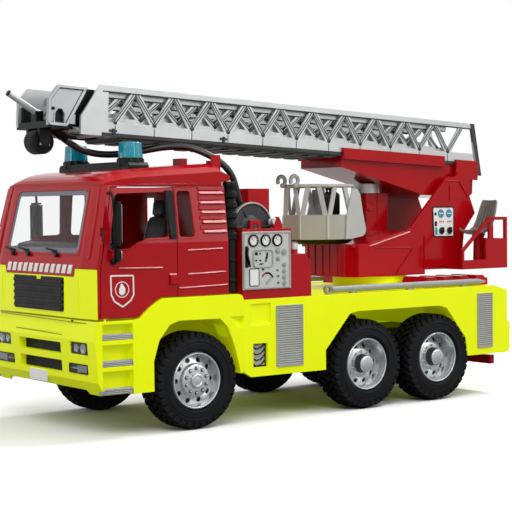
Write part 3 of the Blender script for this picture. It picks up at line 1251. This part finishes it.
def basket():
    """Rescue basket: lower panels, V bars, round top rail, side plates, hooks and its control box."""
    bm = bmesh.new()
    spot = lambda p, z: at(p[0], p[1], z)
    outer = plan_of(BASKET, 0)
    count = len(outer)
    low, band, top = 131.3, 151.4, 174.6
    add_band(bm, outer, plan_of(BASKET, 1.6), spot, low, band, 1)
    add_sheet(bm, plan_of(BASKET, 1.2), spot, low, low + 1.8, 1)
    middle = plan_of(BASKET, 0.8)
    for i in range(count):
        a, b = Vector(middle[i]), Vector(middle[(i + 1) % count])
        length = (b - a).length
        along = (b - a).normalized()
        normal = Vector((along.y, -along.x, 0))
        for way in (-1, 1):
            head = a + along * length * (0.5 + 0.20 * way)
            base = a + along * length * (0.5 + 0.42 * way)
            add_bar(bm, (base.x, base.y, band - 1), (head.x, head.y, top), 4.2, 1.5, normal)
        add_bar(bm, (a.x, a.y, low + 0.5), (a.x, a.y, band), 2.2, 2.2, (1, 0, 0))
    ring = [(x, y, 175) for x, y in rounded(middle, 3, 3)]
    add_bent_rod(bm, ring + ring[:2], 1.45, 14)
    for side in (1, -1):
        plate = [(side * 25.2, y, z) for y, z in ((75.4, 172.4), (78.6, 168.2), (81.3, 153.4), (84.6, 139.4),
                                                  (84, 136.1), (81.6, 133.7), (68.1, 131.4), (62.8, 131.4),
                                                  (64, 151), (70, 172.4))]
        add_plate(bm, plate, -1.2 * side)
    for x in (-8.5, 8.5):
        arc = [(x, *polar((23.8, 179.2), 3.8, math.radians(215 - 24 * k))) for k in range(14)]
        add_bent_rod(bm, arc, 1.7, 10)
        add_bar(bm, (x, 24, 174.6), (x, 30, 175.2), 2.6, 2.4)
    piece("basket_frame", bm, [basket_plastic, basket_panel], 0.25, ("basket",), body="turntable", smooth=40)

    bm = bmesh.new()
    add_prism(bm, "yz", [(64, 152), (73, 152), (73, 168), (69, 170.6), (64, 166)], -7, 7)
    for x in (-4, 0, 4):
        add_turned(bm, "z", (x, 68, 168), [(0, 1.2), (3.4, 0.9), (4.2, 1.5), (5.6, 1.3)], 12)
    add_box(bm, -3, 3, 67, 76, 133, 152)
    piece("basket_console", bm, [black_abs], 0.4, body="turntable")

    bm = bmesh.new()
    rest = [(11, 29), (24.2, 45.6), (24.2, 71.4), (17.4, 77.4)]
    rings = [[at(x, y, z) for x, y in rounded(plan_of(rest, inset), 2, 3)]
             for z, inset in ((131.25, 0), (129.8, 0.6), (128.2, 3), (127.4, 6))]
    add_faces(bm, rings)
    piece("basket_bowl", bm, [black_abs], replaced=("basket_rest",), body="turntable", smooth=60)


# ---- ladder ---------------------------------------------------------------------------------
RAIL = 10.4                         # height of a section's lower rail
HIGH = LEVEL_UNDER + 36.4
PITCH = 33.13                       # one V of the truss
SECTIONS = [("base", "ladder", 28, LEVEL_UNDER, HIGH, -168, 206, -155.9),
            ("middle", "ladder_second", 24.4, LEVEL_UNDER + 3.4, HIGH - 4, -171, 176, -165.7),
            ("top", "ladder_third", 20.8, LEVEL_UNDER + 6.8, HIGH - 8, -186, 150, -165.7)]


def truss_lines():
    """Dark gaps of each ladder section: under its rails, beside its slanting bars and at its joints."""
    for name, body, half, low, high, front, rear, first in SECTIONS:
        bm = bmesh.new()
        for x in (half + 0.06, half - 2.26):
            add_box(bm, x - 0.12, x + 0.12, front + 1, rear - 1, high - 4.9, high - 4)
            add_box(bm, x - 0.12, x + 0.12, front + 1, rear - 1, low + 0.02,
                    low + (2.6 if name == "base" else 0.9))
        x = half + 0.1
        point = first
        while point < rear:
            add_box(bm, x - 0.2, x + 0.1, point - 0.25, point + 0.25, low, low + RAIL - 2.4)
            add_turned(bm, "x", (half, point, low + RAIL - 0.4), [(-0.2, 1.2), (0.4, 1.2), (0.6, 0.8)], 12)
            add_turned(bm, "x", (half - 2.2, point, low + 2), [(0.2, 1.3), (-0.4, 1.3), (-0.6, 1)], 12)
            for peak in (point - PITCH / 2, point + PITCH / 2):
                if front < peak < rear:
                    way = 1 if peak > point else -1
                    for shift in (-1.9, 0.3):
                        add_bar(bm, (x, peak + shift * way, high - 5),
                                (x, point + shift * way, low + RAIL - 0.4), 0.55, 0.3, (1, 0, 0))
            point += PITCH
        mirror_x(bm)
        if name == "base":
            add_box(bm, -25.6, 25.6, -150, 55, low - 1.6, low + 0.3)
            for k in range(13):
                y = -148 + 15.6 * k
                add_box(bm, -26.4, 26.4, y, y + 9, low - 2.6, low - 1.5)
            for side in (1, -1):
                post = [(201.4, high + 0.1), (206.3, high + 0.1), (217, low - 8.2), (213, low - 8.2)]
                add_prism(bm, "yz", post, side * 26.4, side * 28.25)
                for y, z in ((-161, low + 3.4), (-64, low + 4.2)):
                    add_box(bm, side * 27.9, side * 28.7, y, y + 6.4, z, z + 1.6)
                    add_box(bm, side * 27.9, side * 29, y + 2.4, y + 4.2, z - 1.6, z + 2.4)
        tilt_ladder(bm)
        piece("ladder_gaps_" + name, bm, [joint_black], body=body)


def ladder_end():
    """Head of the top section: raised cheek borders, black feet, ribbed wall roller and spray nozzle."""
    low, high = LEVEL_UNDER + 5, HIGH - 2.5
    cheek = [(-208, low), (-208, low + 19), (-200.5, high), (-176.5, high), (-192.5, low)]
    bm = bmesh.new()
    spot = flat_yz(23.4)
    add_band(bm, offset(rounded(cheek, 3), -0.1), offset(rounded(cheek, 2.6), -2.1), spot, -0.1, 0.9)
    add_band(bm, offset(rounded(cheek, 2.6), -2), offset(rounded(cheek, 2.4), -2.6), spot, -0.1, 0.15, 1)
    slot = rounded([(-203.4, low + 0.2), (-203.4, low + 9.2), (-200.6, low + 13), (-196.8, low + 13),
                    (-194.2, low + 9.2), (-194.2, low + 0.2)], 1.2, 3)
    add_band(bm, slot, offset(slot, -0.9), spot, -0.1, 0.6)
    mirror_x(bm)
    add_turned(bm, "x", (0, -189, low + 7.6), [(-22, 1.4), (22, 1.4)], 16)
    tilt_ladder(bm)
    piece("head_borders", bm, [head_silver, joint_black], 0.2, body="ladder_third")

    bm = bmesh.new()
    for side in (1, -1):
        add_box(bm, side * 20.8, side * 23.9, -207.6, -193, low - 1.4, low + 0.3)
        add_box(bm, side * 22, side * 24.4, -199, -179.6, high - 2.6, high - 1.9)
        add_box(bm, side * 18.6, side * 20.9, -205.6, -193.4, low + 2, low + 15)
        add_prism(bm, "yz", [(-193, low + 0.5), (-177.6, high - 1), (-170, high - 1), (-177, low + 0.5)],
                  side * 20.9, side * 21.6)
        add_prism(bm, "yz", [(-207, low + 0.4), (-207, low - 7), (-204.6, low - 14.2), (-199.4, low - 14.2),
                             (-197.4, low - 7), (-197.4, low + 0.4)], side * 7.2, side * 10.1)
        add_turned(bm, "x", (side * 9.8, *ROLLER), [(-0.9, 3), (0.9, 3)], 20)
        add_turned(bm, "x", (side * 23.6, -204, low + 12), [(-0.6, 1.3), (0.6 * side, 1.2)], 14)
    add_box(bm, -20.6, 20.6, -207.4, -186.4, low - 1.6, low + 3.2)
    start, run = Vector((0, -193.6, LEVEL_UNDER + 6)), Vector((0, 13.4, -7)).normalized()
    for near, far, radius, end in ((-1, 15.2, 4.3, 3.5), (10, 12, 4.3, 4.2), (13.6, 15.3, 4.1, 4)):
        add_rod(bm, start + run * near, start + run * far, radius, 24, 0, end)
    tilt_ladder(bm)
    piece("head_feet", bm, [black_abs], 0.25, body="ladder_third")

    bm = bmesh.new()
    teeth = 36                      # of the roller's ribbed tread
    rings = []
    for x, scale in ((-6.5, 0.86), (-6.1, 1), (-4.6, 1), (-4.4, 0.93), (-3.9, 0.93), (-3.7, 1), (3.7, 1),
                     (3.9, 0.93), (4.4, 0.93), (4.6, 1), (6.1, 1), (6.5, 0.86)):
        ring = []
        for i in range(teeth * 4):
            r = 9 * scale * (1 if i % 4 in (0, 1) else 0.95)
            ring.append(at(x, *polar(ROLLER, r, 2 * math.pi * i / (teeth * 4))))
        rings.append(ring)
    add_faces(bm, rings)
    for side in (1, -1):
        add_turned(bm, "x", (side * 6.5, *ROLLER), [(0, 5.6), (side * 0.5, 5.2), (side * 0.5, 3.6),
                                                    (side * 0.1, 3.4)], 28)
    add_turned(bm, "x", (0, *ROLLER), [(-10, 1.5), (10, 1.5)], 14)
    tilt_ladder(bm)
    piece("wall_roller_tyre", bm, [black_abs], replaced=("tip_roller",), body="wall_roller", smooth=25)

    bm = bmesh.new()
    tip, root = Vector((0, -225.18, 240.4)), Vector((0, -201, 226))
    run = root - tip
    for start, end, radius, far in ((0.03, 1, 2.25, 2.5), (0.92, 1, 3, 3)):
        add_rod(bm, tip + run * start, tip + run * end, radius, 24, 0, far)
    add_rod(bm, tip, tip + run * 0.04, 1.9, 24, 1, 2.4)
    add_box(bm, -4, 4, -205, -199, 219.5, 228, 1)
    piece("nozzle_tube", bm, [silver_plastic, black_abs], 0.2, ("spray_nozzle",), body="ladder_third")


# ---- stage --------------------------------------------------------------------------------
CAMERA_PLACE = (917.8, -689.8, 158.36)
CAMERA_TURN = (52.2, 2.16, -0.53)   # azimuth, height above the level and roll, in degrees
FLOOR = 6000                        # from its middle to an edge
WORLD_LIGHT = 0.38
# name, place, aim, size and power
LAMPS = [
    ("key softbox", (1.3, -1.1, 1.5), (0, 0, 0.1), (1.2, 0.9), 20),
    ("side softbox", (1.5, 0.9, 0.9), (0, 0, 0.12), (0.9, 1.2), 9.5),
    ("front strip softbox", (-0.6, -1.7, 0.9), (0, 0, 0.12), (0.35, 1), 8),
    ("top softbox", (0, 0.2, 2), (0, 0, 0.1), (1.8, 1.8), 6),
    ("rear strip softbox", (0.1, 1.08, 1.78), (0, -0.05, 0.15), (1.6, 0.3), 28),
]


def camera():
    """Camera at the front left corner, a little below the cab's roof."""
    azimuth, height, roll = (math.radians(a) for a in CAMERA_TURN)
    back = Vector((math.sin(azimuth) * math.cos(height), -math.cos(azimuth) * math.cos(height),
                   math.sin(height)))
    right = (-back).cross(Vector((0, 0, 1))).normalized()
    up = right.cross(-back)
    c, s = math.cos(roll), math.sin(roll)
    across, rise = c * right + s * up, c * up - s * right
    turn = Matrix((across, rise, back)).transposed().to_4x4()
    data = bpy.data.cameras.new("camera")
    data.sensor_width = 36
    data.lens = 100.63
    data.shift_x = -0.0603
    data.shift_y = 0.0090
    data.clip_start = 0.01
    obj = link("camera", data)
    obj.matrix_world = Matrix.Translation(at(*CAMERA_PLACE)) @ turn
    bpy.context.scene.camera = obj
    bpy.context.scene.view_settings.view_transform = "Standard"


def background_rays(tree):
    """1 for the rays that show the white background: the camera's, and those in metal and glass."""
    rays = add_node(tree, "ShaderNodeLightPath")
    through = add_node(tree, "ShaderNodeMath", {"operation": "MAXIMUM"},
                       {0: rays.outputs["Is Camera Ray"], 1: rays.outputs["Is Transmission Ray"]})
    return add_node(tree, "ShaderNodeMath", {"operation": "MAXIMUM"},
                    {0: through.outputs[0], 1: rays.outputs["Is Glossy Ray"]}).outputs[0]


def paper_floor():
    """Material of the floor."""
    # matt white background paper: even white to the camera, with the toy's soft shadow on it
    material, tree, output = new_material("white background paper")
    sheet = add_node(tree, "ShaderNodeBsdfDiffuse", {"Color": linear("#FAFAFA") + (1,)})
    # the light that it throws back up is that of grey paper, so undersides stay dark
    dull = add_node(tree, "ShaderNodeBsdfDiffuse", {"Color": linear("#8A8A8A") + (1,)})
    rays = add_node(tree, "ShaderNodeLightPath")
    diffuse = add_node(tree, "ShaderNodeMixShader", {}, {0: rays.outputs["Is Camera Ray"], 1: dull.outputs[0],
                                                        2: sheet.outputs[0]})
    # far from the toy the paper fades into the white of the background
    white = add_node(tree, "ShaderNodeEmission", {"Color": (1, 1, 1, 1), "Strength": 1})
    spot = add_node(tree, "ShaderNodeTexCoord")
    reach = add_node(tree, "ShaderNodeVectorMath", {"operation": "LENGTH"}, {0: spot.outputs["Object"]})
    far = add_node(tree, "ShaderNodeMapRange", {"From Min": 0.3, "From Max": 0.9},
                   {"Value": reach.outputs["Value"]})
    part = add_node(tree, "ShaderNodeMath", {"operation": "MULTIPLY"},
                    {0: far.outputs[0], 1: background_rays(tree)})
    mixed = add_node(tree, "ShaderNodeMixShader", {}, {0: part.outputs[0], 1: diffuse.outputs[0],
                                                       2: white.outputs[0]})
    tree.links.new(mixed.outputs[0], output.inputs["Surface"])
    return material


def floor_and_light():
    """Floor, lamps and world."""
    bm = bmesh.new()
    corners = rect(-FLOOR, FLOOR, -FLOOR, FLOOR)
    add_faces(bm, [[Vector((x, y, z)) * MM for x, y in corners] for z in (-0.02, -0.01)])
    mesh = mesh_of("floor", bm)
    mesh.materials.append(paper_floor())
    link("floor", mesh)
    for name, spot, aim, size, power in LAMPS:
        data = bpy.data.lights.new(name, "AREA")
        data.shape = "RECTANGLE"
        data.size, data.size_y = size
        data.energy = power
        lamp = link(name, data)
        away = Vector(aim) - Vector(spot)
        lamp.matrix_world = Matrix.Translation(spot) @ away.to_track_quat("-Z", "Y").to_matrix().to_4x4()
    world = bpy.data.worlds.new("studio")
    bpy.context.scene.world = world
    world.use_nodes = True
    world.node_tree.nodes.clear()
    tree = world.node_tree
    soft = add_node(tree, "ShaderNodeBackground", {"Color": (1, 1, 1, 1), "Strength": WORLD_LIGHT})
    white = add_node(tree, "ShaderNodeBackground", {"Color": (1, 1, 1, 1), "Strength": 1})
    mixed = add_node(tree, "ShaderNodeMixShader", {}, {0: background_rays(tree), 1: soft.outputs[0],
                                                      2: white.outputs[0]})
    add_node(tree, "ShaderNodeOutputWorld", {}, {"Surface": mixed.outputs[0]})


# ---- carried-over pieces ------------------------------------------------------------------
def finish_nodes():
    """Finishes of the CAD pieces that are shown as they are."""
    dress(red_abs, "cab_shell", "door_left", "door_right", "pump_box", "pump_tower", "turret",
          "ladder_cradle", "stowage_blocks", "roof_fittings", "support_column", "operator_platform",
          "underrun_bar")
    dress(yellow_abs, "cab_front_panel", "front_bumper", "front_fenders", "rear_body", "turntable_ring")
    dress(black_abs, "grille", "mirror_left", "mirror_right", "beacon_bar", "air_intake", "basket_rest",
          "tip_roller", "steering_wheel")
    dress(dark_grey_plastic, "chassis_frame", "axles", "dashboard", "cab_seats", "operator_seat", "hose_reel")
    dress(grey_plastic, "cab_steps", "roller_shutters", "pump_fittings")
    dress(rail_grey, "side_rails")
    dress(basket_plastic, "basket")
    dress(panel_silver, "pump_panels")
    dress(silver_plastic, "ladder_base", "ladder_middle", "ladder_top", "spray_nozzle", "column_cap")
    dress(head_silver, "ladder_head")
    dress(lamp_lens, "headlamps")
    dress(tail_lens, "tail_lamps")
    dress(blue_lens, "beacons")
    dress(window_pane, "windscreen")


# ---- operators, panel and run -------------------------------------------------------------
class ENGINE_OT_nodes(bpy.types.Operator):
    """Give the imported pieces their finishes"""
    bl_idname = "engine.nodes"
    bl_label = "Packed pieces"

    def execute(self, context):
        finish_nodes()
        return {"FINISHED"}


class ENGINE_OT_windows(bpy.types.Operator):
    """Frame the cab's windows and add the ribs of its walls and the wipers"""
    bl_idname = "engine.windows"
    bl_label = "Cab windows"

    def execute(self, context):
        cab_frames()
        return {"FINISHED"}


class ENGINE_OT_plate(bpy.types.Operator):
    """Add the white dashes, the blank plate, its bolt and the backs of the slots"""
    bl_idname = "engine.plate"
    bl_label = "Dashes and plate"

    def execute(self, context):
        front_print()
        return {"FINISHED"}


class ENGINE_OT_doors(bpy.types.Operator):
    """Add each door's window frame, creases, black strip and plain shield"""
    bl_idname = "engine.doors"
    bl_label = "Doors"

    def execute(self, context):
        doors()
        return {"FINISHED"}


class ENGINE_OT_steps(bpy.types.Operator):
    """Build the ribbed treads of the cab's steps"""
    bl_idname = "engine.steps"
    bl_label = "Steps"

    def execute(self, context):
        steps()
        return {"FINISHED"}


class ENGINE_OT_lamps(bpy.types.Operator):
    """Build the reflectors and clear covers of the headlamps"""
    bl_idname = "engine.lamps"
    bl_label = "Headlamps"

    def execute(self, context):
        front_lamps()
        return {"FINISHED"}


class ENGINE_OT_front(bpy.types.Operator):
    """Add the shadowed grooves, beads and rim of the yellow front"""
    bl_idname = "engine.front"
    bl_label = "Yellow front"

    def execute(self, context):
        front_creases()
        return {"FINISHED"}


class ENGINE_OT_beacons(bpy.types.Operator):
    """Build the domes, cores and bases of the beacons and the bridge under them"""
    bl_idname = "engine.beacons"
    bl_label = "Beacons"

    def execute(self, context):
        beacons()
        return {"FINISHED"}


class ENGINE_OT_intake(bpy.types.Operator):
    """Build the corrugated air intake pipe"""
    bl_idname = "engine.intake"
    bl_label = "Air intake"

    def execute(self, context):
        intake()
        return {"FINISHED"}


class ENGINE_OT_louvres(bpy.types.Operator):
    """Build the louvre slats behind the doors"""
    bl_idname = "engine.louvres"
    bl_label = "Louvres"

    def execute(self, context):
        louvres()
        return {"FINISHED"}


class ENGINE_OT_seats(bpy.types.Operator):
    """Build the cab's seats and the hood of the dials"""
    bl_idname = "engine.seats"
    bl_label = "Cab seats"

    def execute(self, context):
        cab_inside()
        return {"FINISHED"}


class ENGINE_OT_mirrors(bpy.types.Operator):
    """Silver the faces of the door mirrors"""
    bl_idname = "engine.mirrors"
    bl_label = "Mirrors"

    def execute(self, context):
        mirror_faces()
        return {"FINISHED"}


class ENGINE_OT_pump(bpy.types.Operator):
    """Build the dials, knobs, couplings and cap of the pump unit"""
    bl_idname = "engine.pump"
    bl_label = "Pump controls"

    def execute(self, context):
        pump_controls()
        return {"FINISHED"}


class ENGINE_OT_shutters(bpy.types.Operator):
    """Build the shutter slats, the body's windows and the fender flaps"""
    bl_idname = "engine.shutters"
    bl_label = "Shutters"

    def execute(self, context):
        shutters()
        return {"FINISHED"}


class ENGINE_OT_rear(bpy.types.Operator):
    """Add the outlines and grips of the rear doors"""
    bl_idname = "engine.rear"
    bl_label = "Rear doors"

    def execute(self, context):
        rear_end()
        return {"FINISHED"}


class ENGINE_OT_reel(bpy.types.Operator):
    """Wind the hose reel between its flanges"""
    bl_idname = "engine.reel"
    bl_label = "Hose reel"

    def execute(self, context):
        reel()
        return {"FINISHED"}


class ENGINE_OT_turret(bpy.types.Operator):
    """Add the turret's ribs, web and control panel and the column's flange"""
    bl_idname = "engine.turret"
    bl_label = "Turret"

    def execute(self, context):
        turret_details()
        return {"FINISHED"}


class ENGINE_OT_seat(bpy.types.Operator):
    """Build the operator's seat and its foot"""
    bl_idname = "engine.seat"
    bl_label = "Operator's seat"

    def execute(self, context):
        operator_seat()
        return {"FINISHED"}


class ENGINE_OT_basket(bpy.types.Operator):
    """Build the rescue basket with its console and bowl"""
    bl_idname = "engine.basket"
    bl_label = "Rescue basket"

    def execute(self, context):
        basket()
        return {"FINISHED"}


class ENGINE_OT_gaps(bpy.types.Operator):
    """Add the dark gaps of the ladder sections"""
    bl_idname = "engine.gaps"
    bl_label = "Ladder sections"

    def execute(self, context):
        truss_lines()
        return {"FINISHED"}


class ENGINE_OT_head(bpy.types.Operator):
    """Build the ladder's head, wall roller and nozzle"""
    bl_idname = "engine.head"
    bl_label = "Ladder head"

    def execute(self, context):
        ladder_end()
        return {"FINISHED"}


class ENGINE_OT_wheels(bpy.types.Operator):
    """Build the lugged tyres and the rims"""
    bl_idname = "engine.wheels"
    bl_label = "Wheels"

    def execute(self, context):
        wheels()
        return {"FINISHED"}


class ENGINE_OT_hose(bpy.types.Operator):
    """Lay the water hose"""
    bl_idname = "engine.hose"
    bl_label = "Water hose"

    def execute(self, context):
        water_hose()
        return {"FINISHED"}


class ENGINE_OT_stage(bpy.types.Operator):
    """Set the floor, lamps and camera"""
    bl_idname = "engine.stage"
    bl_label = "Stage"

    def execute(self, context):
        floor_and_light()
        camera()
        return {"FINISHED"}


OPERATORS = (ENGINE_OT_nodes, ENGINE_OT_windows, ENGINE_OT_plate, ENGINE_OT_doors, ENGINE_OT_steps,
             ENGINE_OT_lamps, ENGINE_OT_front, ENGINE_OT_beacons, ENGINE_OT_intake, ENGINE_OT_louvres,
             ENGINE_OT_seats, ENGINE_OT_mirrors, ENGINE_OT_pump, ENGINE_OT_shutters, ENGINE_OT_rear,
             ENGINE_OT_reel, ENGINE_OT_turret, ENGINE_OT_seat, ENGINE_OT_basket, ENGINE_OT_gaps,
             ENGINE_OT_head, ENGINE_OT_wheels, ENGINE_OT_hose, ENGINE_OT_stage)


class ENGINE_PT_panel(bpy.types.Panel):
    bl_label = "Fire engine"
    bl_idname = "ENGINE_PT_panel"
    bl_space_type = "VIEW_3D"
    bl_region_type = "UI"
    bl_category = "Fire engine"

    def draw(self, context):
        for operator in OPERATORS:
            self.layout.operator(operator.bl_idname)
        for settings in (context.scene.engine_colours, context.scene.engine_sizes):
            for name in settings.bl_rna.properties.keys():
                if name not in ("rna_type", "name"):
                    self.layout.prop(settings, name)


CLASSES = (ENGINE_PG_colours, ENGINE_PG_sizes) + OPERATORS + (ENGINE_PT_panel,)


def register():
    for cls in CLASSES:
        bpy.utils.register_class(cls)
    bpy.types.Scene.engine_colours = bpy.props.PointerProperty(type=ENGINE_PG_colours)
    bpy.types.Scene.engine_sizes = bpy.props.PointerProperty(type=ENGINE_PG_sizes)


def unregister():
    del bpy.types.Scene.engine_sizes
    del bpy.types.Scene.engine_colours
    for cls in reversed(CLASSES):
        bpy.utils.unregister_class(cls)


def main():
    register()
    for operator in OPERATORS:
        group, name = operator.bl_idname.split(".")
        getattr(getattr(bpy.ops, group), name)()
    bpy.context.view_layer.update()


if __name__ == "__main__":
    main()
